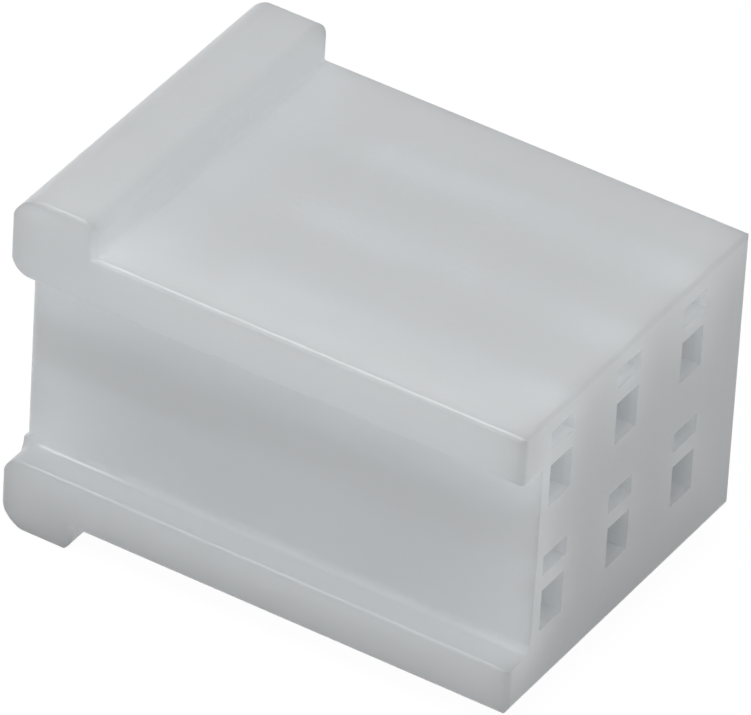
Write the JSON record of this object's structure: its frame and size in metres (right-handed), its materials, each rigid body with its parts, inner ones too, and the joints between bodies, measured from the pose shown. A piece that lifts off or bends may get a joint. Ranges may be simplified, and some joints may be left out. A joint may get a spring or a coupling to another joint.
{
  "type": "wire to board connector housing",
  "caption": "Small moulded receptacle housing with a flanged wire side, a guide recess along one end, and latched contact cavities with pin holes and release slots.",
  "frame": {"origin": "centre of the bounding box in plan, at the foot of the lower lip", "axes": "+X from the wire side to the mating face, +Y from the recessed end to the plain end across the columns, +Z from the lower to the upper contact row"},
  "size_m": [0.0098, 0.0068, 0.0067],
  "materials": {
    "housing": "natural milky nylon, softly satin"
  },
  "bodies": {
    "root": {"housing": "housing"}
  },
  "joints": []
}
